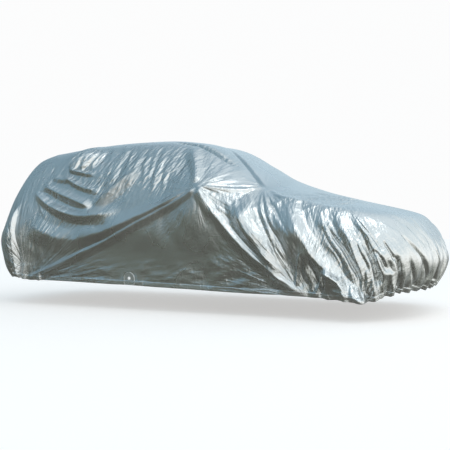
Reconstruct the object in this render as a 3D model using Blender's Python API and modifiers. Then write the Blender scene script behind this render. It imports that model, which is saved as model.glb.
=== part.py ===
"""Fitted car cover, as it hangs on a hatchback: one thin sheet with an arched eyelet patch in each side's hem.

X runs from tail to nose, measured from half way between the axles. Z is the height above the ground.
The near side is -Y. A parent empty brings the part's origin to the underside of the roof.
"""

import math
from collections import namedtuple

import bmesh
import bpy
import numpy as np

# ---- driving dimensions, in metres ----

SHEET = 0.003  # thickness of the cloth
GAP = 0.0003  # between pieces that meet
ROOF_X = -0.25  # where the underside of the roof is highest
ROOF_Z = 1.580  # height of that point above the ground

MIRROR_S = 0.48  # tip of each door mirror under the cloth
MIRROR_Z = 1.09
MIRROR_RISE = 0.095  # how far the tip lifts the cloth off the side
MIRROR_REACH_S = 0.40
MIRROR_REACH_UP = 0.30
MIRROR_REACH_DOWN = 0.60
MIRROR_PEAK = 1.6  # 1 is a straight cone, and more is a sharper tip

EYELET_S = -0.25  # place of each side's eyelet along the hem
EYELET_UP = 0.062  # eyelet centre above the hem
PATCH_WIDTH = 0.112
PATCH_SHEET = 0.003
NOTCH_WIDTH = 0.052  # opening in the cloth behind the patch
NOTCH_UP = 0.090
NOTCH_DOWN = 0.050  # how far its cutter reaches below the hem
NOTCH_DEPTH = 0.100
FLAT_HALF_WIDTH = 0.20  # the cloth lies flat this far either side of the eyelet
FLAT_UP = 0.22
FLAT_FADE = 0.30

RING_HOLE = 0.007  # eyelet ring radii
RING_BARREL = 0.0095
RING_FLANGE = 0.0145
RING_FLANGE_SHEET = 0.0012

SIDES = dict(near=-1, far=1)

# ---- the draped form: a row for each section across the cover, from tail to nose ----

Section = namedtuple("Section", "x hem_y hem_z waist_y waist_z rail_y rail_z top_z")
SECTIONS = (
    Section(-1.35, 0.86, 0.250, 0.880, 0.86, 0.580, 1.450, 1.505),
    Section(-0.85, 0.87, 0.243, 0.890, 0.88, 0.590, 1.500, 1.558),
    Section(-0.35, 0.88, 0.234, 0.900, 0.90, 0.600, 1.522, 1.583),
    Section(0.10, 0.88, 0.225, 0.905, 0.92, 0.590, 1.510, 1.576),
    Section(0.40, 0.88, 0.219, 0.905, 0.94, 0.590, 1.455, 1.525),
    Section(0.70, 0.88, 0.213, 0.905, 0.92, 0.620, 1.285, 1.385),
    Section(1.00, 0.88, 0.208, 0.905, 0.86, 0.680, 1.095, 1.225),
    Section(1.30, 0.88, 0.203, 0.900, 0.78, 0.730, 1.010, 1.110),
    Section(1.65, 0.88, 0.190, 0.895, 0.68, 0.760, 0.935, 1.015),
)

# how each end closes past the last section: reach and height on the centre line, and squareness in plan
Reach = namedtuple("Reach", "x z squareness")
TAIL = dict(hem=Reach(-1.93, 0.250, 3.2), waist=Reach(-2.00, 0.66, 3.2), rail=Reach(-1.65, 1.380, 3.6))
NOSE = dict(hem=Reach(2.31, 0.240, 2.8), waist=Reach(2.43, 0.50, 2.8), rail=Reach(2.25, 0.845, 2.6))
SPINE_SPREAD = 0.75  # share of each end's top that the spine runs along

# ---- folds: a row for each, from (s0, z0) to (s1, z1) ----
# s is x along the sides and goes on as length around the corners; a positive sag bows the fold downwards.
# width0 and width1 are its half widths at the two ends, fade0 and fade1 the shares of its length over which
# each end dies away, and rise is outwards, so a trough has a negative one.

Fold = namedtuple("Fold", "side s0 z0 s1 z1 sag width0 width1 fade0 fade1 rise")
FOLDS = (
    # from the mirror back to the rear hem: ridge, trough above it, and the low swag over both
    Fold("both", 0.48, 1.08, -1.50, 0.22, 0.04, 0.026, 0.046, 0.03, 0.12, 0.027),
    Fold("both", 0.40, 1.10, -1.10, 0.50, 0.05, 0.028, 0.080, 0.15, 0.45, -0.040),
    Fold("near", -0.25, 0.82, -1.46, 0.76, 0.13, 0.045, 0.060, 0.40, 0.15, -0.030),
    Fold("near", 0.25, 1.08, -1.42, 0.88, 0.17, 0.045, 0.085, 0.40, 0.20, 0.040),
    # from the mirror forward to the front hem: ridge, second ridge, trough, broad ridge
    Fold("both", 0.48, 1.08, 1.50, 0.20, 0.10, 0.022, 0.040, 0.03, 0.15, 0.028),
    Fold("near", 0.62, 0.93, 1.16, 0.36, 0.02, 0.024, 0.034, 0.30, 0.30, 0.024),
    Fold("both", 0.72, 1.02, 1.40, 0.24, 0.06, 0.026, 0.050, 0.35, 0.15, -0.038),
    Fold("near", 0.74, 1.06, 1.46, 0.30, 0.02, 0.036, 0.056, 0.35, 0.25, 0.036),
    Fold("near", 1.04, 1.02, 1.52, 0.36, 0.02, 0.050, 0.065, 0.40, 0.30, -0.020),
    # wheel arch: ridge, pocket, and the small arched pleat in front of it
    Fold("near", 1.20, 1.04, 1.80, 0.30, 0.05, 0.030, 0.055, 0.40, 0.30, 0.034),
    Fold("near", 1.43, 0.62, 1.64, 0.18, 0.02, 0.040, 0.050, 0.40, 0.10, -0.040),
    Fold("near", 1.60, 0.16, 1.66, 0.52, 0.00, 0.024, 0.020, 0.10, 0.50, 0.024),
    Fold("near", 1.68, 0.20, 1.96, 0.34, -0.08, 0.026, 0.028, 0.15, 0.40, 0.024),
    # slanting folds of the front corner
    Fold("near", 1.50, 0.97, 2.10, 0.18, 0.02, 0.026, 0.046, 0.45, 0.15, 0.030),
    Fold("near", 1.68, 0.94, 2.05, 0.22, 0.03, 0.024, 0.040, 0.40, 0.20, -0.034),
    Fold("near", 1.78, 0.92, 2.22, 0.24, 0.04, 0.026, 0.044, 0.35, 0.25, 0.028),
    Fold("near", 1.93, 0.92, 2.30, 0.34, 0.03, 0.022, 0.040, 0.40, 0.30, -0.028),
    Fold("near", 2.08, 0.88, 2.42, 0.24, 0.02, 0.026, 0.040, 0.40, 0.20, 0.024),
    Fold("near", 2.28, 0.78, 2.68, 0.24, -0.05, 0.024, 0.034, 0.35, 0.15, -0.028),
    Fold("near", 2.40, 0.82, 2.76, 0.30, -0.04, 0.026, 0.034, 0.40, 0.25, 0.020),
    # swags of the rear quarter, from the lowest trough up
    Fold("near", -1.38, 1.08, -0.30, 0.88, 0.16, 0.030, 0.034, 0.25, 0.30, -0.034),
    Fold("near", -1.40, 1.16, -0.42, 0.94, 0.10, 0.036, 0.042, 0.30, 0.40, 0.030),
    Fold("near", -1.38, 1.18, -0.64, 0.92, 0.01, 0.024, 0.030, 0.35, 0.35, -0.030),
    Fold("near", -1.30, 1.25, -0.60, 1.02, 0.03, 0.030, 0.036, 0.40, 0.40, 0.026),
    Fold("near", -1.14, 1.27, -0.62, 1.06, 0.01, 0.024, 0.030, 0.35, 0.40, -0.026),
    Fold("near", -1.08, 1.32, -0.52, 1.18, 0.04, 0.030, 0.046, 0.40, 0.40, 0.030),
    Fold("near", -1.10, 1.36, -0.64, 1.28, 0.02, 0.022, 0.026, 0.40, 0.40, -0.022),
    Fold("near", -0.64, 0.88, -0.14, 1.36, 0.03, 0.036, 0.050, 0.30, 0.45, 0.026),
    Fold("near", -0.50, 0.94, -0.02, 1.36, 0.02, 0.028, 0.036, 0.40, 0.45, -0.018),
    # rear corner: upright ridge and the trough outside it
    Fold("both", -1.57, 1.10, -1.56, 0.18, 0.00, 0.024, 0.036, 0.30, 0.10, 0.024),
    Fold("both", -1.67, 1.06, -1.65, 0.18, 0.00, 0.024, 0.036, 0.30, 0.10, -0.024),
    # crease along the roof rail, crease down the windscreen, and the tight line between mirror and windscreen
    Fold("both", -0.30, 1.530, 0.70, 1.310, -0.05, 0.018, 0.022, 0.35, 0.15, -0.012),
    Fold("both", 0.50, 1.490, 1.00, 1.120, -0.02, 0.020, 0.024, 0.30, 0.15, -0.010),
    Fold("both", 0.50, 1.09, 1.02, 1.11, 0.02, 0.026, 0.022, 0.10, 0.25, 0.016),
)

FOLD_CREST = 1.6  # 2 is a round crest, and less is a sharper one

# ---- the gathered hem: a row for each stretch that the elastic draws in ----

Gather = namedtuple("Gather", "s half_span spacing depth reach_up slant")
GATHERS = (
    Gather(2.15, 0.55, 0.150, 0.015, 0.17, 0.35),
    Gather(2.85, 0.75, 0.170, 0.018, 0.20, 0.15),
    Gather(-2.20, 0.80, 0.165, 0.016, 0.20, -0.20),
)

# the second, closer set of pleats in each stretch, which keeps them from being even
SMALL_PLEAT_DEPTH = 0.45
SMALL_PLEAT_RATE = 1.63
SMALL_PLEAT_START = 0.8
GATHER_FADE_FROM = 1.25  # in half spans from the middle of the stretch, over the last one of which it fades

# the hem hangs lower or higher than SECTIONS gives it: a row for each place
DIP_REACH_UP = 0.25
Dip = namedtuple("Dip", "side s half_span drop")
HEM_DIPS = (
    Dip("both", 2.05, 0.22, 0.045),
    Dip("near", 1.72, 0.12, 0.008),
    Dip("near", 0.95, 0.40, 0.006),
    Dip("far", 0.60, 0.35, 0.010),
    Dip("both", -1.62, 0.14, -0.012),
)

# ---- mesh density ----

COLUMNS_TAIL = 44
COLUMNS_SIDE = 150
COLUMNS_NOSE = 60
ROWS = 78
CURVE_SAMPLES = 40
FOLD_STEPS = 16  # straight steps along a fold's curve
CLOTH_TRIANGLES = 5450  # in one face of the sheet, before it gets its thickness
ARCH_STEPS = 20
ROUND_STEPS = 24
MERGE = 1e-5

CLOTH = dict(colour=(0.60, 0.64, 0.66, 1.0), metallic=0.85, roughness=0.34)
PATCH = dict(colour=(0.66, 0.69, 0.70, 1.0), metallic=0.70, roughness=0.42)
RING = dict(colour=(0.86, 0.87, 0.86, 1.0), metallic=0.0, roughness=0.38)


# ---- the form of the draped sheet ----


def table_curve(column, x):
    """A smooth curve through one column of SECTIONS, read at each x."""
    knots = np.array([row.x for row in SECTIONS])
    values = np.array([getattr(row, column) for row in SECTIONS])
    slopes = np.gradient(values, knots)
    left = np.clip(np.searchsorted(knots, x) - 1, 0, len(knots) - 2)
    step = knots[left + 1] - knots[left]
    t = (x - knots[left]) / step
    return hermite(values[left], values[left + 1], slopes[left] * step, slopes[left + 1] * step, t)


def hermite(start, end, leave, arrive, t):
    """The cubic from start to end that leaves and arrives with the given tangents."""
    return (
        start * (2 * t**3 - 3 * t**2 + 1)
        + end * (3 * t**2 - 2 * t**3)
        + leave * (t**3 - 2 * t**2 + t)
        + arrive * (t**3 - t**2)
    )


def side_rings(x):
    """Points of the hem, waist, rail and top at each x along the side."""
    rings = [
        np.stack([x, table_curve(f"{ring}_y", x), table_curve(f"{ring}_z", x)], axis=-1)
        for ring in ("hem", "waist", "rail")
    ]
    top = np.stack([x, np.zeros_like(x), table_curve("top_z", x)], axis=-1)
    return np.stack([*rings, top])


def end_climb(last, end):
    """Slope along x of the top, from the last section to the edge of the end."""
    return (end["rail"].z - last.top_z) / (end["rail"].x - last.x)


def end_rings(t, last, end):
    """The same four rings around one end: t is 0 where the side stops and 1 on the centre line."""
    angle = (1 - t) * math.pi / 2
    rings = []
    for name in ("hem", "waist", "rail"):
        reach = end[name]
        side_y = getattr(last, f"{name}_y")
        side_z = getattr(last, f"{name}_z")
        forward = np.cos(angle) ** (2 / reach.squareness)
        across = np.sin(angle) ** (2 / reach.squareness)
        x = last.x + (reach.x - last.x) * forward
        rings.append(np.stack([x, side_y * across, side_z + (reach.z - side_z) * forward], axis=-1))
    along = SPINE_SPREAD * (end["rail"].x - last.x) * t
    top_z = last.top_z + end_climb(last, end) * along
    rings.append(np.stack([last.x + along, np.zeros_like(t), top_z], axis=-1))
    return np.stack(rings)


def lofted(rings, climb):
    """A smooth curve from hem to top through the four rings, at each column."""
    spans = np.linalg.norm(np.diff(rings, axis=0), axis=-1)[..., None]
    inward = (rings[3] - rings[2]) * (1, 1, 0)
    inward /= np.linalg.norm(inward, axis=-1, keepdims=True)
    inward[..., 2] = climb * inward[..., 0]
    tangents = (
        (rings[1] - rings[0]) / spans[0],
        (rings[2] - rings[0]) / (spans[0] + spans[1]),
        (rings[3] - rings[1]) / (spans[1] + spans[2]),
        inward,
    )
    pieces = []
    for k in range(3):
        t = np.linspace(0, 1, CURVE_SAMPLES, endpoint=k == 2)[:, None, None]
        leave, arrive = tangents[k] * spans[k], tangents[k + 1] * spans[k]
        pieces.append(hermite(rings[k], rings[k + 1], leave, arrive, t))
    return np.concatenate(pieces)


def even_rows(curves, rows):
    """The curves read again at rows places, evenly spaced along each."""
    steps = np.linalg.norm(np.diff(curves, axis=0), axis=-1)
    lengths = np.concatenate([np.zeros((1, curves.shape[1])), np.cumsum(steps, axis=0)])
    share = np.linspace(0, 1, rows)
    even = np.empty((rows, curves.shape[1], 3))
    for column in range(curves.shape[1]):
        at = share * lengths[-1, column]
        for axis in range(3):
            even[:, column, axis] = np.interp(at, lengths[:, column], curves[:, column, axis])
    return even


def half_form():
    """The smooth far half as (rows, columns, 3), from tail to nose, and each column's place s."""
    tail, nose = SECTIONS[0], SECTIONS[-1]
    side_x = np.linspace(tail.x, nose.x, COLUMNS_SIDE)
    stretches = (
        (end_rings(np.linspace(1, 0, COLUMNS_TAIL, endpoint=False), tail, TAIL), end_climb(tail, TAIL)),
        (side_rings(side_x), 0.0),
        (end_rings(np.linspace(0, 1, COLUMNS_NOSE + 1)[1:], nose, NOSE), end_climb(nose, NOSE)),
    )
    curves = np.concatenate([lofted(rings, climb) for rings, climb in stretches], axis=1)
    waist = np.concatenate([rings[1] for rings, _ in stretches])
    around = np.concatenate([[0], np.cumsum(np.linalg.norm(np.diff(waist, axis=0), axis=-1))])
    return even_rows(curves, ROWS), around - around[COLUMNS_TAIL] + tail.x


def ease(t):
    """0 up to t = 0, 1 from t = 1, and smooth between."""
    t = np.clip(t, 0, 1)
    return t * t * (3 - 2 * t)


def fold_rise(fold, s, z):
    """How far one fold moves the cloth outwards at (s, z)."""
    start, end = np.array([fold.s0, fold.z0]), np.array([fold.s1, fold.z1])
    middle = (start + end) / 2 - (0, 2 * fold.sag)
    t = np.linspace(0, 1, FOLD_STEPS + 1)[:, None]
    path = (1 - t) ** 2 * start + 2 * t * (1 - t) * middle + t**2 * end
    nearest = np.full(s.shape, np.inf)
    share = np.zeros(s.shape)
    for step, ((s0, z0), (s1, z1)) in enumerate(zip(path[:-1], path[1:])):
        run, climb = s1 - s0, z1 - z0
        along = np.clip(((s - s0) * run + (z - z0) * climb) / (run**2 + climb**2), 0, 1)
        away = np.hypot(s - s0 - along * run, z - z0 - along * climb)
        closer = away < nearest
        nearest = np.where(closer, away, nearest)
        share = np.where(closer, (step + along) / FOLD_STEPS, share)
    width = fold.width0 + (fold.width1 - fold.width0) * share
    fade = ease(share / fold.fade0) * ease((1 - share) / fold.fade1)
    return fold.rise * fade * np.exp(-((nearest / width) ** FOLD_CREST))


def gather_rise(gather, s, up):
    """Upright pleats that fade upwards from the hem and out at both ends of their stretch."""
    phase = 2 * math.pi * (s - gather.s + gather.slant * up) / gather.spacing
    small = SMALL_PLEAT_DEPTH * np.cos(SMALL_PLEAT_RATE * phase + SMALL_PLEAT_START)
    window = ease(GATHER_FADE_FROM - np.abs(s - gather.s) / gather.half_span)
    return gather.depth * (np.cos(phase) + small) * window * np.exp(-((up / gather.reach_up) ** 2))


def mirror_rise(s, z):
    """The tent over a door mirror."""
    reach_z = np.where(z > MIRROR_Z, MIRROR_REACH_UP, MIRROR_REACH_DOWN)
    away = np.hypot((s - MIRROR_S) / MIRROR_REACH_S, (z - MIRROR_Z) / reach_z)
    return MIRROR_RISE * np.clip(1 - away, 0, 1) ** MIRROR_PEAK


def outward_normals(points):
    """Unit normals of the half cover's grid."""
    along = np.gradient(points, axis=1)
    up = np.gradient(points, axis=0)
    normals = np.cross(up, along)
    return normals / np.linalg.norm(normals, axis=-1, keepdims=True)


def lay_flat(points, s, up):
    """Brings the cloth around the eyelet into one plane, where the patch lies."""
    fade_s = ease((FLAT_HALF_WIDTH + FLAT_FADE - np.abs(s - EYELET_S)) / FLAT_FADE)
    fade_up = ease((FLAT_UP + FLAT_FADE - up) / FLAT_FADE)
    weight = fade_s * fade_up
    plane_y = hem_plane_y(points[..., 2])
    points[..., 1] += weight * (plane_y - points[..., 1])


def hem_at_eyelet():
    """Half width and height of the hem, and its lean outwards going up, at the eyelet."""
    x = np.array([EYELET_S])
    hem, waist = side_rings(x)[:2, 0]
    return hem[1], hem[2], (waist[1] - hem[1]) / (waist[2] - hem[2])


def hem_plane_y(z):
    """Half width at height z of the plane in which the cloth lies around the eyelet."""
    hem_y, hem_z, lean = hem_at_eyelet()
    return hem_y + lean * (z - hem_z)


def half_cover(side):
    """The folded points of one side, with y counted outwards."""
    points, column_s = half_form()
    s = np.broadcast_to(column_s, points.shape[:2])
    z = points[..., 2].copy()
    up = z - z[0]
    rise = mirror_rise(s, z)
    for fold in FOLDS:
        if fold.side in (side, "both"):
            rise = rise + fold_rise(fold, s, z)
    for gather in GATHERS:
        rise = rise + gather_rise(gather, s, up)
    points += rise[..., None] * outward_normals(points)
    for dip in HEM_DIPS:
        if dip.side in (side, "both"):
            away = np.hypot((s - dip.s) / dip.half_span, up / DIP_REACH_UP)
            points[..., 2] -= dip.drop * np.exp(-(away**2))
    lay_flat(points, s, up)
    points[-1, :, 1] = 0  # the spine and both centre lines stay on y = 0
    points[:, (0, -1), 1] = 0
    return points


# ---- objects ----


def collection(name):
    made = bpy.data.collections.new(name)
    bpy.context.scene.collection.children.link(made)
    return made


def material(name, colour, metallic, roughness):
    made = bpy.data.materials.new(name)
    made.use_nodes = True
    shader = made.node_tree.nodes["Principled BSDF"]
    shader.inputs["Base Color"].default_value = colour
    shader.inputs["Metallic"].default_value = metallic
    shader.inputs["Roughness"].default_value = roughness
    return made


def place(name, data, home, parent, finish=None):
    placed = bpy.data.objects.new(name, data)
    home.objects.link(placed)
    placed.parent = parent
    if finish:
        data.materials.append(finish)
    return placed


def mesh_of(name, bm):
    data = bpy.data.meshes.new(name)
    bm.to_mesh(data)
    bm.free()
    return data


def cloth_mesh():
    """One open sheet: the near half from tail to nose, then the far half back to the tail."""
    near = half_cover("near") * (1, -1, 1)
    far = half_cover("far")
    loop = np.concatenate([near, far[:, -2::-1]], axis=1)
    rows, columns = loop.shape[:2]
    bm = bmesh.new()
    bmesh.ops.create_grid(bm, x_segments=columns - 1, y_segments=rows - 1, size=1)
    bm.verts.ensure_lookup_table()
    for index, point in enumerate(loop.reshape(-1, 3)):
        bm.verts[index].co = point
    bmesh.ops.remove_doubles(bm, verts=bm.verts[:], dist=MERGE)
    bmesh.ops.dissolve_degenerate(bm, edges=bm.edges[:], dist=MERGE)
    bmesh.ops.triangulate(bm, faces=bm.faces[:])
    bmesh.ops.recalc_face_normals(bm, faces=bm.faces[:])
    return mesh_of("cover_cloth", bm)


def keep_near_eyelets(cloth):
    """A vertex group that is 0 where the sheet must stay as fine, and so as flat, as it was made."""
    group = cloth.vertex_groups.new(name="may_coarsen")
    top = hem_at_eyelet()[1] + 2 * NOTCH_UP
    kept, others = [], []
    for vertex in cloth.data.vertices:
        x, _, z = vertex.co
        (kept if abs(x - EYELET_S) < PATCH_WIDTH and z < top else others).append(vertex.index)
    group.add(kept, 0.0, "REPLACE")
    group.add(others, 1.0, "REPLACE")
    return group.name


def notch_cutter(side, home, parent):
    """A box through the cloth behind one patch, open at the hem."""
    hem_y, hem_z, _ = hem_at_eyelet()
    bm = bmesh.new()
    bmesh.ops.create_cube(bm, size=1)
    bmesh.ops.scale(bm, verts=bm.verts[:], vec=(NOTCH_WIDTH, NOTCH_DEPTH, NOTCH_UP + NOTCH_DOWN))
    bmesh.ops.translate(bm, verts=bm.verts[:], vec=(0, 0, (NOTCH_UP - NOTCH_DOWN) / 2))
    cutter = place(f"notch_{side}", mesh_of(f"notch_{side}", bm), home, parent)
    cutter.location = (EYELET_S, hem_y * SIDES[side], hem_z)
    cutter.hide_render = True
    cutter.display_type = "WIRE"
    return cutter


def add_cloth(home, cutters, parent):
    finish = material("silver_film_cloth", **CLOTH)
    cloth = place("cover_cloth", cloth_mesh(), home, parent, finish)
    cloth.data.shade_smooth()
    coarser = cloth.modifiers.new("coarsen", "DECIMATE")
    coarser.ratio = CLOTH_TRIANGLES / len(cloth.data.polygons)
    coarser.vertex_group = keep_near_eyelets(cloth)
    wall = cloth.modifiers.new("sheet", "SOLIDIFY")
    wall.thickness = SHEET
    wall.offset = -1
    for side in SIDES:
        cut = cloth.modifiers.new(f"notch_{side}", "BOOLEAN")
        cut.object = notch_cutter(side, cutters, parent)
    return cloth


def add_outline(curve, corners):
    """A closed outline in a flat curve."""
    spline = curve.splines.new("POLY")
    spline.points.add(len(corners) - 1)
    for point, (x, y) in zip(spline.points, corners):
        point.co = (x, y, 0, 1)
    spline.use_cyclic_u = True


def arch_corners(radius, below):
    """A round head about the eyelet, straight sides, and a square foot this far below it."""
    head = [math.pi * k / ARCH_STEPS for k in range(ARCH_STEPS + 1)]
    corners = [(radius * math.cos(angle), radius * math.sin(angle)) for angle in head]
    return [*corners, (-radius, -below), (radius, -below)]


def round_corners(radius):
    angles = [2 * math.pi * k / ROUND_STEPS for k in range(ROUND_STEPS)]
    return [(radius * math.cos(angle), radius * math.sin(angle)) for angle in angles]


def stand_at_eyelet(piece, side, outwards):
    """Turns a piece made in its own XY plane to face out of one side, this far off the cloth's outer face."""
    hem_y, hem_z, lean = hem_at_eyelet()
    tilt = math.atan(lean)
    away = SIDES[side]
    y = hem_plane_y(hem_z + EYELET_UP) + outwards / math.cos(tilt)
    piece.location = (EYELET_S, away * y, hem_z + EYELET_UP)
    piece.rotation_euler = (math.pi / 2 + tilt, 0, 0 if away < 0 else math.pi)


def add_patch(side, home, parent):
    """The arched patch, a plate with a round hole, flat on the outer face of the cloth."""
    name = f"eyelet_patch_{side}"
    curve = bpy.data.curves.new(name, "CURVE")
    curve.dimensions = "2D"
    curve.fill_mode = "BOTH"
    curve.extrude = PATCH_SHEET / 2
    add_outline(curve, arch_corners(PATCH_WIDTH / 2, EYELET_UP))
    add_outline(curve, round_corners(RING_BARREL + GAP))
    patch = place(name, curve, home, parent, material(f"patch_{side}", **PATCH))
    stand_at_eyelet(patch, side, GAP + PATCH_SHEET / 2)


def add_ring(side, home, parent):
    """The eyelet ring: a barrel through the patch with a flange on each face, turned from its section."""
    half = PATCH_SHEET / 2 + GAP
    outer = half + RING_FLANGE_SHEET
    section = (
        (RING_HOLE, outer),
        (RING_FLANGE, outer),
        (RING_FLANGE, half),
        (RING_BARREL, half),
        (RING_BARREL, -half),
        (RING_FLANGE, -half),
        (RING_FLANGE, -outer),
        (RING_HOLE, -outer),
    )
    bm = bmesh.new()
    corners = [bm.verts.new((radius, 0, height)) for radius, height in section]
    for first, second in zip(corners, corners[1:] + corners[:1]):
        bm.edges.new((first, second))
    name = f"eyelet_ring_{side}"
    ring = place(name, mesh_of(name, bm), home, parent, material(f"ring_{side}", **RING))
    turn = ring.modifiers.new("turn", "SCREW")
    turn.steps = ROUND_STEPS
    turn.render_steps = ROUND_STEPS
    turn.use_merge_vertices = True
    turn.merge_threshold = MERGE
    stand_at_eyelet(ring, side, GAP + PATCH_SHEET / 2)


def main():
    for old in list(bpy.data.objects):
        bpy.data.objects.remove(old, do_unlink=True)
    home = collection("car_cover")
    cutters = collection("car_cover_cutters")
    origin = place("car_roof", None, home, None)
    origin.location = (-ROOF_X, 0, -ROOF_Z)
    add_cloth(home, cutters, origin)
    for side in SIDES:
        add_patch(side, home, origin)
        add_ring(side, home, origin)


main()
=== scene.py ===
"""The silver film cover in its draped shape: one thin sheet with all its folds, and an eyelet in each hem.

The cover is worked out in its own chart. s runs from tail to nose: it is x along the sides, counted from
a place 0.25 m ahead of the roof's highest point, and goes on as length around the corners. z is the height
above the floor. The near side is -Y. Sizes are in metres, but the long tables are in millimetres and
thousandths.
"""

import math
from collections import namedtuple

import bmesh
import bpy
import numpy as np
from mathutils import Matrix, Vector


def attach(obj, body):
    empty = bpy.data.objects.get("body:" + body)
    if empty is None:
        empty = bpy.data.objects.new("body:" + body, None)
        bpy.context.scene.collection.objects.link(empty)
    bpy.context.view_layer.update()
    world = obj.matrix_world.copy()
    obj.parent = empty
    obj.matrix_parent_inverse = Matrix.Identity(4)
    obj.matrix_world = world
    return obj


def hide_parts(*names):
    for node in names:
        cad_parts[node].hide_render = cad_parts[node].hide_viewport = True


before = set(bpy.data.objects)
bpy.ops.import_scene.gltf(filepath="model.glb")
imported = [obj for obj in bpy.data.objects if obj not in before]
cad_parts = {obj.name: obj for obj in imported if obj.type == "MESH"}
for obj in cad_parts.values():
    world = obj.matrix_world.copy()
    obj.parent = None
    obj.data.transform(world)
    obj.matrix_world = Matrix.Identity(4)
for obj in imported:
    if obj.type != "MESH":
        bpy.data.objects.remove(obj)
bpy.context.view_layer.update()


def table(kind, *rows, whole=("side",)):
    """Named rows, whose numbers are given in thousandths except in the columns named in whole."""
    named = []
    for row in rows:
        pairs = zip(kind._fields, row)
        named.append(kind(*(value if name in whole else value / 1000 for name, value in pairs)))
    return named


# ---- the cover's own dimensions ----

ROOF_X = -0.25
ROOF_Z = 1.580
TO_FRAME = np.array((-ROOF_X, 0.0, -ROOF_Z))

MIRROR_S = 0.48
MIRROR_Z = 1.09
MIRROR_RISE = 0.095
MIRROR_REACH_S = 0.40
MIRROR_REACH_UP = 0.30
MIRROR_REACH_DOWN = 0.60
MIRROR_PEAK = 1.6

EYELET_S = -0.25
EYELET_UP = 0.062
PATCH_WIDTH = 0.112
PATCH_FILM = 0.0015  # how far the patch stands off the cloth, and its welded rim
PATCH_RIM = 0.0023
PATCH_RIM_WIDTH = 0.005
PATCH_RIM_SLOPE = 0.0008
PATCH_RIM_FALL = 0.0012
PATCH_EDGE_ROUND = 0.0003
PATCH_EDGE = 0.0002
PATCH_STEPS = 96
PATCH_CIRCLES = 9
PATCH_RIPPLE = 0.0004
PATCH_RIPPLE_SPANS = (0.018, 0.030)
NOTCH_RADIUS = 0.024
FLAT_HALF_WIDTH = 0.20
FLAT_UP = 0.22
FLAT_FADE = 0.30
CALM_HALF_WIDTH = 0.065  # the loose film lies quite flat this near the eyelet
CALM_UP = 0.13
CALM_FADE = 0.10
RING_HOLE = 0.007
RING_BARREL = 0.0095
RING_FLANGE = 0.0145
RING_FRONT = 0.0046
RING_BACK = -0.0012
RING_FLANGE_SHEET = 0.0012
RING_BACK_INSET = 0.0005
RING_ROUNDNESS = 0.7
RING_ARC_STEPS = 8
RING_STEPS = 48
GAP = 0.0003

HEM_ROWS = (0.0, 0.014, 0.028, 0.0395, 0.0435)  # lengths up of the rows of the doubled hem
HEM_DOUBLE = 0.0020
HEM_INSIDE = 0.0040
HEM_TURN = 0.0015

NEAR, FAR, BOTH = "near", "far", "both"
SIDES = {NEAR: -1, FAR: 1}

Section = namedtuple("Section", "x hem_y hem_z waist_y waist_z rail_y rail_z top_z")
SECTIONS = table(
    Section,
    (-1350, 860, 250, 880, 860, 580, 1450, 1505),
    (-850, 870, 243, 890, 880, 590, 1500, 1558),
    (-350, 880, 234, 900, 900, 600, 1522, 1583),
    (100, 880, 225, 905, 920, 590, 1510, 1576),
    (400, 880, 219, 905, 940, 590, 1455, 1525),
    (700, 880, 213, 905, 920, 620, 1285, 1385),
    (1000, 880, 208, 905, 860, 680, 1095, 1225),
    (1300, 880, 203, 900, 780, 730, 1010, 1110),
    (1650, 880, 190, 895, 680, 760, 935, 1015),
)
Reach = namedtuple("Reach", "x z squareness")
TAIL = dict(hem=Reach(-1.93, 0.250, 3.2), waist=Reach(-2.00, 0.66, 3.2), rail=Reach(-1.65, 1.380, 3.6))
NOSE = dict(hem=Reach(2.31, 0.240, 2.8), waist=Reach(2.43, 0.50, 2.8), rail=Reach(2.25, 0.845, 2.6))
SPINE_SPREAD = 0.75

# ---- main folds: a row for each, from (s0, z0) to (s1, z1) ----
# A positive sag bows the fold downwards. width0 and width1 are its half widths at the two ends, fade0 and
# fade1 the shares of its length over which each end dies away, and rise is outwards. A positive lean makes
# the flank on the left of its way from end to end wider, and the other steeper.

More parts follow.
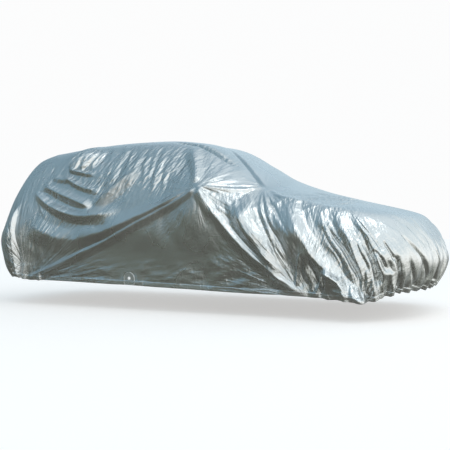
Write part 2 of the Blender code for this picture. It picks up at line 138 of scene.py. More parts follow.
Fold = namedtuple("Fold", "side s0 z0 s1 z1 sag width0 width1 fade0 fade1 rise lean", defaults=(0.0,))
FOLDS = table(
    Fold,
    # from the side tent back to the rear hem: thin ridge, and the long one above it with a dark lower flank
    (BOTH, 470, 1080, -1500, 240, 30, 30, 50, 30, 120, 26, 500),
    (BOTH, 420, 1100, -950, 620, 55, 35, 120, 200, 200, 46, -200),
    (BOTH, -680, 650, -1400, 800, 60, 120, 120, 380, 200, 44, 200),
    # from the side tent forward to the front hem: thin ridge, then the broad one behind a dark flank
    (BOTH, 480, 1080, 1500, 200, 100, 45, 70, 30, 120, 30, -350),
    (BOTH, 800, 990, 1340, 300, 50, 125, 60, 200, 450, 62, 250),
    (NEAR, 1040, 1030, 1360, 500, 60, 14, 20, 300, 400, -12, 200),
    (NEAR, 1080, 1050, 1370, 660, -20, 14, 20, 300, 400, -10, 200),
    (NEAR, 1020, 960, 1400, 280, 70, 14, 20, 300, 300, -10, 200),
    # ahead of them: broad ridge with a pocket behind it, small pleats in the pocket, arched pleat before it
    (NEAR, 1270, 980, 2080, 210, 160, 160, 85, 200, 100, 80, -360),
    (NEAR, 1470, 580, 1410, 280, 0, 22, 26, 250, 150, 22),
    (NEAR, 1520, 540, 1600, 280, 0, 34, 40, 350, 150, -28),
    (NEAR, 1570, 200, 1640, 410, 0, 24, 22, 100, 300, 22),
    (NEAR, 1620, 410, 1840, 320, -20, 24, 22, 150, 400, 24, 200),
    # slanting folds of the front corner, which run together at the lowest point of the hem
    (NEAR, 1540, 940, 1960, 290, 0, 60, 60, 300, 250, 16, 200),
    (NEAR, 1720, 940, 2100, 240, 0, 60, 70, 300, 150, 26, 250),
    (NEAR, 1910, 920, 2200, 320, -30, 50, 55, 300, 200, 18, 200),
    # the thin dark valleys between them
    (NEAR, 1590, 820, 1890, 360, 0, 16, 20, 300, 300, -14),
    (NEAR, 1660, 800, 2020, 320, 0, 18, 26, 250, 200, -24, 300),
    (NEAR, 1900, 680, 2050, 430, 0, 16, 20, 300, 300, -14),
    (NEAR, 1940, 870, 2150, 570, 0, 14, 16, 300, 300, -12),
    (NEAR, 1980, 680, 2160, 320, 0, 28, 36, 300, 150, -30, 200),
    (NEAR, 2050, 600, 2210, 400, -30, 16, 22, 300, 200, -18),
    (NEAR, 2150, 690, 2260, 490, 0, 14, 18, 300, 300, -14),
    (NEAR, 1720, 270, 2110, 215, 0, 20, 20, 200, 300, 18, 300),
    # dark lines of the nose
    (NEAR, 2240, 570, 2370, 270, 0, 16, 22, 400, 50, -20, 200),
    (NEAR, 2350, 570, 2560, 250, 0, 16, 24, 400, 50, -20, 200),
    (NEAR, 2310, 770, 2750, 280, 0, 14, 28, 350, 50, -24, 200),
    (NEAR, 2600, 870, 2860, 500, -40, 12, 16, 400, 400, -8),
    (NEAR, 2780, 640, 3000, 300, 0, 16, 22, 400, 50, -16),
    (BOTH, 2150, 840, 2400, 680, 0, 20, 24, 400, 400, 8),
    (BOTH, 2530, 840, 2800, 650, 0, 22, 26, 400, 400, 8),
    # swags of the rear quarter, from the lowest band up, and the crumpled ramp in front of them
    (NEAR, -1410, 1120, -310, 940, 155, 40, 92, 150, 300, 52, -50),
    (NEAR, -1290, 1165, -660, 945, 0, 40, 62, 150, 150, 38),
    (NEAR, -1220, 1250, -960, 1200, 0, 34, 34, 300, 400, 22),
    (NEAR, -1080, 1265, -630, 1115, 35, 26, 44, 200, 250, 26, 100),
    (NEAR, -1050, 1325, -680, 1265, 10, 22, 34, 200, 250, 24, 100),
    (NEAR, -660, 960, -190, 1305, -20, 62, 60, 220, 300, 24, -550),
    (NEAR, -1050, 1340, -840, 1520, 30, 34, 50, 200, 300, 30, -300),
    (NEAR, -920, 1320, -760, 1490, 10, 28, 34, 250, 300, 22, -400),
    (NEAR, -800, 1340, -660, 1500, 10, 24, 30, 250, 400, 16, -400),
    # rear corner: upright ridge and the trough outside it
    (BOTH, -1610, 1020, -1600, 220, 40, 26, 32, 200, 100, 48, 50),
    (BOTH, -1690, 1020, -1680, 180, 40, 26, 36, 300, 100, -26),
    (BOTH, -1540, 660, -1550, 220, 0, 22, 28, 350, 100, -22),
    # the tight lines at the side tent
    (BOTH, 500, 1090, 1020, 1110, 20, 26, 22, 100, 250, 14),
    (BOTH, 460, 1120, 240, 1520, -30, 50, 80, 100, 300, 30),
)
# The same for the top, where z0 and z1 are how far out from the centre line the fold lies: the crease along
# the roof's edge, the one that runs down the slope ahead of the roof, and a weak one opposite.
TOP_FOLDS = table(
    Fold,
    (NEAR, 0, 490, 720, 580, 12, 30, 36, 350, 300, -50, 150),
    (NEAR, 440, 190, 1040, 665, 6, 26, 30, 350, 250, -34, 150),
    (FAR, 500, 320, 1020, 640, -30, 34, 36, 450, 400, -14),
)
CREST_ROUND = 0.14
FOLD_REACH = 2  # how far a fold is worked out from its crest, in its half widths
WANDER = 0.012  # how far its path strays
WANDER_SPAN = 0.16
TAUT = 0.4  # share of that where the film is pulled tight, from the tail to just past the side tents
TAUT_UP_TO = 0.45
TAUT_FADE = 0.45
UNEVEN = 0.24  # how much its height varies along it
UNEVEN_SPAN = 0.13

# ---- the gathered hem ----

Gather = namedtuple("Gather", "s half_span spacing depth reach_up slant")
GATHERS = table(
    Gather,
    (2150, 550, 150, 15, 170, 350),
    (2850, 750, 170, 18, 200, 150),
    (-2200, 800, 165, 16, 200, -200),
    (2600, 950, 62, 5, 70, 100),
    (-2200, 750, 66, 5, 70, -100),
)
SMALL_PLEAT_DEPTH = 0.45
SMALL_PLEAT_RATE = 1.63
SMALL_PLEAT_START = 0.8
GATHER_FADE_FROM = 1.25

Tuck = namedtuple("Tuck", "s_none s_full reach_up depth")
TUCKS = table(
    Tuck,
    (-1420, -1780, 170, 60),
    (1950, 2400, 120, 18),
)

DIP_REACH_UP = 0.25
Dip = namedtuple("Dip", "side s half_span drop")
HEM_DIPS = table(
    Dip,
    (BOTH, 2050, 220, 45),
    (NEAR, 1720, 120, 8),
    (NEAR, 950, 400, 6),
    (FAR, 600, 350, 10),
    (BOTH, -1620, 140, -12),
)

# ---- fine creases that spread from a point where the film is held: a row for each fan ----

Fan = namedtuple("Fan", "side s z from_deg to_deg count length width rise")
FANS = table(
    Fan,
    (BOTH, 470, 1090, -40, 42, 15, 420, 9, 8),
    (BOTH, 1000, 1120, 150, 215, 8, 340, 9, 7),
    (BOTH, 1000, 1120, -75, -15, 7, 400, 11, 7),
    (NEAR, -1380, 1100, -60, 40, 9, 340, 11, 6),
    (BOTH, -1460, 240, 4, 24, 6, 850, 13, 5),
    (BOTH, 1500, 210, 150, 176, 6, 800, 13, 5),
    (BOTH, 2050, 170, 60, 125, 9, 420, 15, 10),
    (NEAR, 1660, 190, 75, 125, 5, 340, 15, 10),
    whole=("side", "from_deg", "to_deg", "count"),
)
FAN_SEEDS = 7
# what is drawn for each crease, between a least and a most
FAN_PLACE = (0.15, 0.85)
FAN_LENGTH = (0.45, 1.0)
FAN_START = (0.03, 0.10)
FAN_SIZE = (0.6, 1.3)
FAN_RISE = (0.5, 1.1)
FAN_SAG = (-0.015, 0.02)
FAN_WIDTHS = (0.8, 2)
FAN_FADES = (0.15, 0.6)

# ---- loose stretches: a row for each ----
# Across the way its creases run, given by angle, the film is longer than its form by the share excess, so it
# buckles there. grain is the width of its finest creases and even the share by which it is loose every way.

Slack = namedtuple("Slack", "side s z half_s half_z angle excess even grain")
SLACKS = table(
    Slack,
    # the roof side, slanting forwards as it climbs, and the side of the slope ahead of it
    (BOTH, -500, 1300, 800, 240, 60, 20, 8, 26),
    (BOTH, 100, 1300, 350, 240, 66, 22, 8, 28),
    (BOTH, 550, 1280, 200, 160, 80, 12, 4, 40),
    # rear quarter: tight lines behind, the crumpled patch, the ramp, and the bands under them
    (NEAR, -1300, 1100, 260, 360, 72, 12, 4, 36),
    (NEAR, -880, 1420, 180, 120, 45, 80, 50, 36),
    (NEAR, -420, 1130, 200, 140, -35, 8, 10, 22),
    (NEAR, -850, 1120, 260, 120, -20, 12, 8, 30),
    (NEAR, -750, 720, 500, 110, 86, 5, 2, 40),
    (NEAR, -1250, 500, 220, 260, 66, 18, 10, 40),
    (NEAR, -1450, 270, 220, 120, 80, 80, 10, 36),
    # flat panel: near level low down, near upright higher up, slanting at its front
    (BOTH, 150, 330, 1150, 120, 4, 20, 2, 36),
    (BOTH, 300, 720, 440, 300, 84, 3, 1, 50),
    (NEAR, 780, 460, 260, 180, -42, 12, 4, 40),
    # between the side tent and the broad ridge
    (NEAR, 750, 1000, 260, 110, -25, 16, 6, 30),
    (NEAR, 720, 860, 140, 100, -50, 30, 16, 34),
    (NEAR, 1220, 820, 200, 240, -72, 30, 24, 28),
    (NEAR, 1320, 480, 200, 220, -60, 40, 25, 34),
    (NEAR, 1530, 360, 140, 150, 88, 70, 30, 34),
    # front corner and the edge of the top above it
    (NEAR, 1750, 650, 400, 340, -60, 14, 8, 28),
    (NEAR, 2080, 550, 260, 300, -68, 18, 8, 28),
    (NEAR, 2160, 480, 120, 140, -60, 70, 60, 30),
    (NEAR, 1500, 980, 600, 100, 25, 16, 8, 34),
    # nose, and the gathered hem at both ends
    (NEAR, 2450, 720, 450, 150, -55, 12, 3, 45),
    (BOTH, 2800, 420, 750, 240, -86, 30, 6, 40),
    (BOTH, 2550, 210, 850, 140, 90, 80, 10, 36),
    (BOTH, -2100, 230, 750, 150, 90, 80, 10, 36),
    # far side and tail, plainer
    (FAR, -900, 950, 550, 340, 35, 18, 6, 50),
    (FAR, 1550, 620, 600, 340, -60, 50, 20, 50),
    (FAR, 2300, 580, 500, 240, -70, 30, 4, 50),
    (BOTH, -2150, 700, 550, 450, 82, 14, 3, 50),
    whole=("side", "angle"),
)
SLACK_SEED = 41
ROW_SEEDS = 10
SLACK_FADE_FROM = 1.35
PATCHY = 0.5  # how much the looseness varies, and by how many degrees its direction
PATCHY_SPAN = 0.15
TWIST = 14
TWIST_SPAN = 0.3
GRAIN_LENGTH = 3.2
GRAIN_RISE = 1.2

# ---- how the loose film buckles, on every fourth point first and on all of them last ----

Level = namedtuple("Level", "step rounds share")
LEVELS = (Level(4, 200, 0.6), Level(2, 150, 0.8), Level(1, 80, 1.0))
LINKS = ((0, 1), (1, 0), (1, 1), (1, -1))  # rows and columns from each point to those that it is tied to
FINER_WAVES = 0.5
PULL = 0.42
STIFFNESS = 0.003
STIFFNESS_SPREAD = 1.5
STIFFNESS_SPAN = 0.21
ATTACH = 0.001
FARTHEST = 0.030
TINY = 1e-9
TINY_AREA = 1e-12

# ---- mesh density ----

COLUMNS_TAIL = 110
COLUMNS_SIDE = 330
COLUMNS_NOSE = 171
ROWS = 169
ROW_CROWDING = 0.30  # how much closer the rows lie low down than on the roof
CURVE_SAMPLES = 120
WAIST_SAMPLES = 2001
FOLD_STEPS = 16
CLOTH_TRIANGLES = 194000
SAME_POINT = 1e-5


# ---- the form of the draped sheet ----


def hermite(start, end, leave, arrive, t):
    """The cubic from start to end that leaves and arrives with the given tangents."""
    return (
        start * (2 * t**3 - 3 * t**2 + 1)
        + end * (3 * t**2 - 2 * t**3)
        + leave * (t**3 - 2 * t**2 + t)
        + arrive * (t**3 - t**2)
    )


def unit(vectors):
    return vectors / np.linalg.norm(vectors, axis=-1, keepdims=True)


def lengths_along(points):
    """Length from the first row of points to each row."""
    steps = np.linalg.norm(np.diff(points, axis=0), axis=-1)
    return np.concatenate([np.zeros((1, *steps.shape[1:])), np.cumsum(steps, axis=0)])


def table_curve(column, x):
    """A smooth curve through one column of SECTIONS, read at each x."""
    knots = np.array([row.x for row in SECTIONS])
    values = np.array([getattr(row, column) for row in SECTIONS])
    slopes = np.gradient(values, knots)
    left = np.clip(np.searchsorted(knots, x) - 1, 0, len(knots) - 2)
    step = knots[left + 1] - knots[left]
    t = (x - knots[left]) / step
    return hermite(values[left], values[left + 1], slopes[left] * step, slopes[left + 1] * step, t)


def side_rings(x):
    """Points of the hem, waist, rail and top at each x along the side."""
    rings = [
        np.stack([x, table_curve(f"{ring}_y", x), table_curve(f"{ring}_z", x)], axis=-1)
        for ring in ("hem", "waist", "rail")
    ]
    top = np.stack([x, np.zeros_like(x), table_curve("top_z", x)], axis=-1)
    return np.stack([*rings, top])


def end_climb(last, end):
    """Slope along x of the top, from the last section to the edge of the end."""
    return (end["rail"].z - last.top_z) / (end["rail"].x - last.x)


def end_rings(t, last, end):
    """The same four rings around one end: t is 0 where the side stops and 1 on the centre line."""
    angle = (1 - t) * math.pi / 2
    rings = []
    for name in ("hem", "waist", "rail"):
        reach = end[name]
        side_y = getattr(last, f"{name}_y")
        side_z = getattr(last, f"{name}_z")
        forward = np.cos(angle) ** (2 / reach.squareness)
        across = np.sin(angle) ** (2 / reach.squareness)
        x = last.x + (reach.x - last.x) * forward
        rings.append(np.stack([x, side_y * across, side_z + (reach.z - side_z) * forward], axis=-1))
    along = SPINE_SPREAD * (end["rail"].x - last.x) * t
    top_z = last.top_z + end_climb(last, end) * along
    rings.append(np.stack([last.x + along, np.zeros_like(t), top_z], axis=-1))
    return np.stack(rings)


def even_t(last, end, count):
    """Places around one end that lie evenly along its waist, from the side to the centre line."""
    t = np.linspace(0, 1, WAIST_SAMPLES)
    waist_length = lengths_along(end_rings(t, last, end)[1])
    return np.interp(np.linspace(0, waist_length[-1], count + 1), waist_length, t)


def lofted(rings, climb):
    """A smooth curve from hem to top through the four rings, at each column."""
    spans = np.linalg.norm(np.diff(rings, axis=0), axis=-1)[..., None]
    inward = unit((rings[3] - rings[2]) * (1, 1, 0))
    inward[..., 2] = climb * inward[..., 0]
    tangents = (
        (rings[1] - rings[0]) / spans[0],
        (rings[2] - rings[0]) / (spans[0] + spans[1]),
        (rings[3] - rings[1]) / (spans[1] + spans[2]),
        inward,
    )
    pieces = []
    for k in range(3):
        t = np.linspace(0, 1, CURVE_SAMPLES, endpoint=k == 2)[:, None, None]
        leave, arrive = tangents[k] * spans[k], tangents[k + 1] * spans[k]
        pieces.append(hermite(rings[k], rings[k + 1], leave, arrive, t))
    return np.concatenate(pieces)


def crowded_rows(curves, rows):
    """The curves read again at rows places that crowd near the hem, and each place's length from the hem."""
    lengths = lengths_along(curves)
    even = np.linspace(0, 1, rows - len(HEM_ROWS) + 1)[1:, None]
    share = even * (1 - ROW_CROWDING) + even**2 * ROW_CROWDING
    hem = np.broadcast_to(np.array(HEM_ROWS)[:, None], (len(HEM_ROWS), curves.shape[1]))
    up = np.concatenate([hem, HEM_ROWS[-1] + share * (lengths[-1] - HEM_ROWS[-1])])
    points = np.empty((rows, curves.shape[1], 3))
    for column in range(curves.shape[1]):
        for axis in range(3):
            points[:, column, axis] = np.interp(up[:, column], lengths[:, column], curves[:, column, axis])
    return points, up


def half_form():
    """Points of the smooth far half, from tail to nose, each column's s and each point's length up."""
    tail, nose = SECTIONS[0], SECTIONS[-1]
    side_x = np.linspace(tail.x, nose.x, COLUMNS_SIDE)
    stretches = (
        (end_rings(even_t(tail, TAIL, COLUMNS_TAIL)[:0:-1], tail, TAIL), end_climb(tail, TAIL)),
        (side_rings(side_x), 0.0),
        (end_rings(even_t(nose, NOSE, COLUMNS_NOSE)[1:], nose, NOSE), end_climb(nose, NOSE)),
    )
    curves = np.concatenate([lofted(rings, climb) for rings, climb in stretches], axis=1)
    waist_length = lengths_along(np.concatenate([rings[1] for rings, _ in stretches]))
    points, up = crowded_rows(curves, ROWS)
    return points, waist_length - waist_length[COLUMNS_TAIL] + tail.x, up


def ease(t):
    """0 up to t = 0, 1 from t = 1, and smooth between."""
    t = np.clip(t, 0, 1)
    return t * t * (3 - 2 * t)


# ---- seeded noise over the chart ----

LATTICE = 64
BEND = 0.35  # how far the facets of crushed film bend off their line, and slide along it
BEND_RATES = (0.7, 0.9)
BEND_SHIFT = 5
SLIDE = 0.5
SLIDE_RATE = 0.5
FINE_SHARE = 0.42
FINE_RATES = (2.1, 2.3)
FINE_SHIFT = 9


def lattice(x, y, seed):
    """The four heights around each point, and where it lies between them."""
    heights = np.random.default_rng(seed).uniform(-1, 1, (LATTICE, LATTICE))
    column, row = np.floor(x).astype(int), np.floor(y).astype(int)

    def corner(across, up):
        return heights[(column + across) % LATTICE, (row + up) % LATTICE]

    return corner(0, 0), corner(1, 0), corner(0, 1), corner(1, 1), x - column, y - row


def swell(x, y, seed):
    """Smooth hills of about one unit."""
    low_left, low_right, high_left, high_right, across, up = lattice(x, y, seed)
    across, up = ease(across), ease(up)
    low = low_left + (low_right - low_left) * across
    high = high_left + (high_right - high_left) * across
    return low + (high - low) * up


def facets(x, y, seed):
    """Flat triangles of about one unit that meet in creases, as crushed film has."""
    low_left, low_right, high_left, high_right, across, up = lattice(x, y, seed)
    below = low_left + across * (low_right - low_left) + up * (high_right - low_right)
    above = low_left + up * (high_left - low_left) + across * (high_right - high_left)
    return np.where(across > up, below, above)


def crushed(s, up, angle, length, width, seed):
    """Facets drawn out along one direction, bent by a swell, in two sizes."""
    turn = math.radians(angle)
    along = s * math.cos(turn) + up * math.sin(turn)
    across = up * math.cos(turn) - s * math.sin(turn)
    bend = swell(along / length * BEND_RATES[0] + BEND_SHIFT, across / length * BEND_RATES[1], seed + 1)
    across = across + BEND * length * bend
    along = along + SLIDE * length * swell(along / length, across / width * SLIDE_RATE, seed + 2)
    coarse = facets(along / length, across / width, seed + 3)
    fine = facets(along / length * FINE_RATES[0] + FINE_SHIFT, across / width * FINE_RATES[1], seed + 4)
    return coarse + FINE_SHARE * fine


# ---- folds ----


def fold_path(fold):
    """Points along the fold's crest, on a curve that sags between its ends."""
    start, end = np.array([fold.s0, fold.z0]), np.array([fold.s1, fold.z1])
    middle = (start + end) / 2 - (0, 2 * fold.sag)
    t = np.linspace(0, 1, FOLD_STEPS + 1)[:, None]
    return (1 - t) ** 2 * start + 2 * t * (1 - t) * middle + t**2 * end


def tent(away):
    """1 at the crest and 0 from one half width away, with flat flanks and a little rounding."""
    flank = 1 - np.sqrt(away**2 + CREST_ROUND**2) + CREST_ROUND / 2
    return (flank + np.sqrt(flank**2 + CREST_ROUND**2)) / 2


def add_fold(rise, fold, s, z, uneven):
    """Adds to rise how far one fold moves the cloth outwards."""
    path = fold_path(fold)
    margin = FOLD_REACH * (1 + abs(fold.lean)) * max(fold.width0, fold.width1)
    low, high = path.min(axis=0) - margin, path.max(axis=0) + margin
    near = (s > low[0]) & (s < high[0]) & (z > low[1]) & (z < high[1])
    here_s, here_z = s[near], z[near]
    nearest = np.full(here_s.shape, np.inf)
    share = np.zeros(here_s.shape)
    left = np.zeros(here_s.shape)
    for step, ((s0, z0), (s1, z1)) in enumerate(zip(path[:-1], path[1:])):
        run, climb = s1 - s0, z1 - z0
        along = np.clip(((here_s - s0) * run + (here_z - z0) * climb) / (run**2 + climb**2), 0, 1)
        away = np.hypot(here_s - s0 - along * run, here_z - z0 - along * climb)
        closer = away < nearest
        nearest = np.where(closer, away, nearest)
        share = np.where(closer, (step + along) / FOLD_STEPS, share)
        left = np.where(closer, np.sign(run * (here_z - z0) - climb * (here_s - s0)), left)
    width = (fold.width0 + (fold.width1 - fold.width0) * share) * (1 + fold.lean * left)
    fade = ease(share / fold.fade0) * ease((1 - share) / fold.fade1)
    foot = 1 - ease(nearest / width - (FOLD_REACH - 1))
    rise[near] += fold.rise * fade * foot * uneven[near] * tent(nearest / width)


def fan_folds(fan, seed):
    """The creases of one fan, uneven in angle, length and height."""
    draw = np.random.default_rng(seed)
    folds = []
    for k in range(fan.count):
        share = (k + draw.uniform(*FAN_PLACE)) / fan.count
        turn = math.radians(fan.from_deg + share * (fan.to_deg - fan.from_deg))
        length = fan.length * draw.uniform(*FAN_LENGTH)
        start = draw.uniform(*FAN_START)
        size = draw.uniform(*FAN_SIZE)
        rise = fan.rise * draw.uniform(*FAN_RISE) * (-1 if k % 2 else 1)
        first, last = ((fan.s + r * math.cos(turn), fan.z + r * math.sin(turn)) for r in (start, length))
        widths = (fan.width * FAN_WIDTHS[0], fan.width * FAN_WIDTHS[1] * size)
        folds.append(Fold(fan.side, *first, *last, draw.uniform(*FAN_SAG), *widths, *FAN_FADES, rise))
    return folds


def gather_rise(gather, s, up):
    """Upright pleats that fade upwards from the hem and out at both ends of their stretch."""
    phase = 2 * math.pi * (s - gather.s + gather.slant * up) / gather.spacing
    small = SMALL_PLEAT_DEPTH * np.cos(SMALL_PLEAT_RATE * phase + SMALL_PLEAT_START)
    window = ease(GATHER_FADE_FROM - np.abs(s - gather.s) / gather.half_span)
    return gather.depth * (np.cos(phase) + small) * window * np.exp(-((up / gather.reach_up) ** 2))


def mirror_rise(s, z):
    """The tent in which the cloth stands out at each side."""
    reach_z = np.where(z > MIRROR_Z, MIRROR_REACH_UP, MIRROR_REACH_DOWN)
    away = np.hypot((s - MIRROR_S) / MIRROR_REACH_S, (z - MIRROR_Z) / reach_z)
    return MIRROR_RISE * np.clip(1 - away, 0, 1) ** MIRROR_PEAK


def outward_normals(points):
    """Unit normals of the half cover's grid."""
    along = np.gradient(points, axis=1)
    up = np.gradient(points, axis=0)
    return unit(np.cross(up, along))


def hem_at_eyelet():
    """Half width and height of the hem, and its lean outwards going up, at the eyelet."""
    x = np.array([EYELET_S])
    hem, waist = side_rings(x)[:2, 0]
    return hem[1], hem[2], (waist[1] - hem[1]) / (waist[2] - hem[2])


def hem_plane_y(z):
    """Half width at height z of the plane in which the cloth lies around the eyelet."""
    hem_y, hem_z, lean = hem_at_eyelet()
    return hem_y + lean * (z - hem_z)


def around_eyelet(s, up, half_width, height, fade):
    """1 near the eyelet, and 0 from the fade's length further on."""
    beside = ease((half_width + fade - np.abs(s - EYELET_S)) / fade)
    return beside * ease((height + fade - up) / fade)


def lay_flat(points, s, up):
    """Brings the cloth around the eyelet into one plane, where the patch lies."""
    weight = around_eyelet(s, up, FLAT_HALF_WIDTH, FLAT_UP, FLAT_FADE)
    points[..., 1] += weight * (hem_plane_y(points[..., 2]) - points[..., 1])


def free(s, length_up):
    """Share by which the film may buckle, which is 0 around the eyelet, where the patch keeps it flat."""
    return 1 - around_eyelet(s, length_up, CALM_HALF_WIDTH, CALM_UP, CALM_FADE)


def slack_of(side, s, z, length_up):
    """How much too long the film is, as shares (ss, su, uu), and the small waves that start its creases."""
    shares = np.zeros((3, *s.shape))
    waves = np.zeros(s.shape)
    for k, row in enumerate(SLACKS):
        if row.side in (side, BOTH):
            seed = SLACK_SEED + ROW_SEEDS * k + (ROW_SEEDS // 2 if side == FAR else 0)
            window = ease(SLACK_FADE_FROM - np.hypot((s - row.s) / row.half_s, (z - row.z) / row.half_z))
            patchy = window * (1 + PATCHY * swell(s / PATCHY_SPAN, length_up / PATCHY_SPAN, seed + 6))
            turn = np.radians(row.angle + TWIST * swell(s / TWIST_SPAN, length_up / TWIST_SPAN, seed + 7))
            along_s, along_up = np.cos(turn), np.sin(turn)
            shares[0] += patchy * (row.excess * along_up**2 + row.even)
            shares[1] -= patchy * row.excess * along_up * along_s
            shares[2] += patchy * (row.excess * along_s**2 + row.even)
            wave = crushed(s, length_up, row.angle, row.grain * GRAIN_LENGTH, row.grain, seed)
            waves += window * GRAIN_RISE * row.grain * math.sqrt(row.excess + row.even) * wave
    return shares, waves


def link_lengths(form, s, up, shares, row_step, column_step):
    """Lengths of the film between each point and the one that many rows and columns on."""

    def ahead(values):
        return np.roll(values[row_step:], -column_step, axis=1)

    rows = len(form) - row_step
    run, climb = ahead(s) - s[:rows], ahead(up) - up[:rows]
    straight = np.linalg.norm(ahead(form) - form[:rows], axis=-1)
    ss, su, uu = shares[:, :rows]
    excess = (ss * run**2 + 2 * su * run * climb + uu * climb**2) / (run**2 + climb**2 + TINY_AREA)
    return (straight * (1 + excess))[..., None]


def unevenness(field):
    """How far each point of the grid lies from its neighbours: the sum of the differences to the four."""
    result = np.roll(field, 1, axis=1) + np.roll(field, -1, axis=1) - 2 * field
    steps = np.diff(field, axis=0)
    result[:-1] += steps
    result[1:] -= steps
    return result


def relaxed(form, offset, s, up, shares, steps):
    """The offsets from the form after the film has buckled out of its excess length."""
    links = [(rows, columns, link_lengths(form, s, up, shares, rows, columns)) for rows, columns in LINKS]
    spread = swell(s / STIFFNESS_SPAN, up / STIFFNESS_SPAN, SLACK_SEED)
    stiffness = STIFFNESS * 2.0 ** (STIFFNESS_SPREAD * spread)[..., None]
    for _ in range(steps):
        points = form + offset
        for row_step, column_step, rest in links:
            gap = np.roll(points[row_step:], -column_step, axis=1) - points[: len(points) - row_step]
            length = np.sqrt((gap**2).sum(axis=-1, keepdims=True)) + TINY
            move = PULL * (1 - rest / length) * gap
            points[: len(points) - row_step] += move
            points[row_step:] -= np.roll(move, column_step, axis=1)
        offset = points - form
        offset -= stiffness * unevenness(unevenness(offset)) + ATTACH * offset
        offset *= np.minimum(1, FARTHEST / (np.linalg.norm(offset, axis=-1, keepdims=True) + TINY))
        offset[-1] = 0
    return offset


def finer(offset):
    """The same offsets on a grid of twice as many rows and columns."""
    rows, columns = offset.shape[:2]
    taller = np.empty((2 * rows - 1, columns, 3), offset.dtype)
    taller[::2] = offset
    taller[1::2] = (offset[1:] + offset[:-1]) / 2
    wider = np.empty((2 * rows - 1, 2 * columns, 3), offset.dtype)
    wider[:, ::2] = taller
    wider[:, 1::2] = (taller + np.roll(taller, -1, axis=1)) / 2
    return wider


def buckled(form, s, up, shares, waves):
    """The form with its excess length taken up in creases, long ones first."""
    offset = None
    for level in LEVELS:
        every = (slice(None, None, level.step), slice(None, None, level.step))
        offset = waves[every] if offset is None else finer(offset) + FINER_WAVES * waves[every]
        excess = level.share * shares[(slice(None), *every)]
        offset = relaxed(form[every], offset, s[every], up[every], excess, level.rounds)
    return form + offset * free(s, up)[..., None]


def half_cover(side):
    """The folded points of one side, with y counted outwards."""
    points, column_s, length_up = half_form()
    s = np.broadcast_to(column_s, length_up.shape)
    z = points[..., 2].copy()
    up = z - z[0]
    seed = SLACK_SEED + (1 if side == FAR else 0)
    wander = WANDER * (TAUT + (1 - TAUT) * ease((s - TAUT_UP_TO) / TAUT_FADE))
    wander_s = s + wander * swell(s / WANDER_SPAN, length_up / WANDER_SPAN, seed + 100)
    wander_z = z + wander * swell(s / WANDER_SPAN, length_up / WANDER_SPAN, seed + 200)
    uneven = 1 + UNEVEN * swell(s / UNEVEN_SPAN, length_up / UNEVEN_SPAN, seed + 300)
    even = np.ones_like(z)
    rise = mirror_rise(s, z)
    for fold in FOLDS:
        if fold.side in (side, BOTH):
            add_fold(rise, fold, wander_s, wander_z, uneven)
    for fold in TOP_FOLDS:
        if fold.side == side:
            add_fold(rise, fold, s, points[..., 1], even)
    for k, fan in enumerate(FANS):
        if fan.side in (side, BOTH):
            for fold in fan_folds(fan, SLACK_SEED + FAN_SEEDS * k):
                add_fold(rise, fold, s, z, uneven)
    for gather in GATHERS:
        rise += gather_rise(gather, s, up)
    for tuck in TUCKS:
        near_hem = np.clip(1 - up / tuck.reach_up, 0, 1) ** 2
        rise -= tuck.depth * near_hem * ease((s - tuck.s_none) / (tuck.s_full - tuck.s_none))
    points += rise[..., None] * outward_normals(points)
    shares, waves = slack_of(side, s, z, length_up)
    shares = shares * free(s, length_up)
    waves = (waves * free(s, length_up))[..., None] * outward_normals(points)
    for dip in HEM_DIPS:
        if dip.side in (side, BOTH):
            away = np.hypot((s - dip.s) / dip.half_span, up / DIP_REACH_UP)
            points[..., 2] -= dip.drop * np.exp(-(away**2))
    lay_flat(points, s, up)
    points[-1, :, 1] = 0
    points[:, (0, -1), 1] = 0
    return points, s, z, length_up, shares, waves


# ---- objects ----


def mesh_of(name, bm):
    data = bpy.data.meshes.new(name)
    bm.to_mesh(data)
    bm.free()
    return data


def added(name, data):
    """A new object in the scene."""
    made = bpy.data.objects.new(name, data)
    bpy.context.scene.collection.objects.link(made)
    return made


def add_piece(name, data, finish, *nodes, slot):
    piece = added(name, data)
    data.materials.append(finish)
    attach(piece, "root")
    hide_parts(*nodes)
    return piece


def around(near, far):
    """One loop of columns, from the tail along the near side to the nose and back along the far side."""
    return np.concatenate([near, far[:, -2:0:-1]], axis=1)


def closed(loop):
    """The loop with its first column again at the end."""
    return np.concatenate([loop, loop[:, :1]], axis=1)


def loop_normals(loop):
    along = np.roll(loop, -1, axis=1) - np.roll(loop, 1, axis=1)
    normals = np.cross(along, np.gradient(loop, axis=0))
    normals[-1] = normals[-2] * (1, 0, 1)
    return unit(normals)


def hemmed(loop):
    """The loop with its edge doubled, and turned up inside."""
    outwards = loop_normals(loop)
    double = len(HEM_ROWS) - 1
    loop = loop.copy()
    loop[:double] += HEM_DOUBLE * outwards[:double]
    level = unit(outwards[1] * (1, 1, 0))
    edge = loop[0] - HEM_INSIDE / 2 * level - (0, 0, HEM_TURN)
    inside = loop[(double - 1, 1), :] - HEM_INSIDE * level
    return np.concatenate([inside, edge[None], loop])


def with_hem(field):
    """A field of the loop with rows for the turned-up edge."""
    return np.concatenate([field[(len(HEM_ROWS) - 2, 1, 0), :], field])


def add_layer(bm, name, across, up):
    """A UV layer from two values for each vertex."""
    layer = bm.loops.layers.uv.new(name)
    values = np.stack([across, up], axis=-1).reshape(-1, 2)
    for face in bm.faces:
        for corner in face.loops:
            corner[layer].uv = values[corner.vert.index]


def open_notches(bm, s, length_up):
    """Cuts the holes behind the patches, which let the rings through."""
    away = np.hypot(s - EYELET_S, length_up - EYELET_UP).ravel()
    behind = [face for face in bm.faces if all(away[vertex.index] < NOTCH_RADIUS for vertex in face.verts)]
    bmesh.ops.delete(bm, geom=behind, context="FACES")


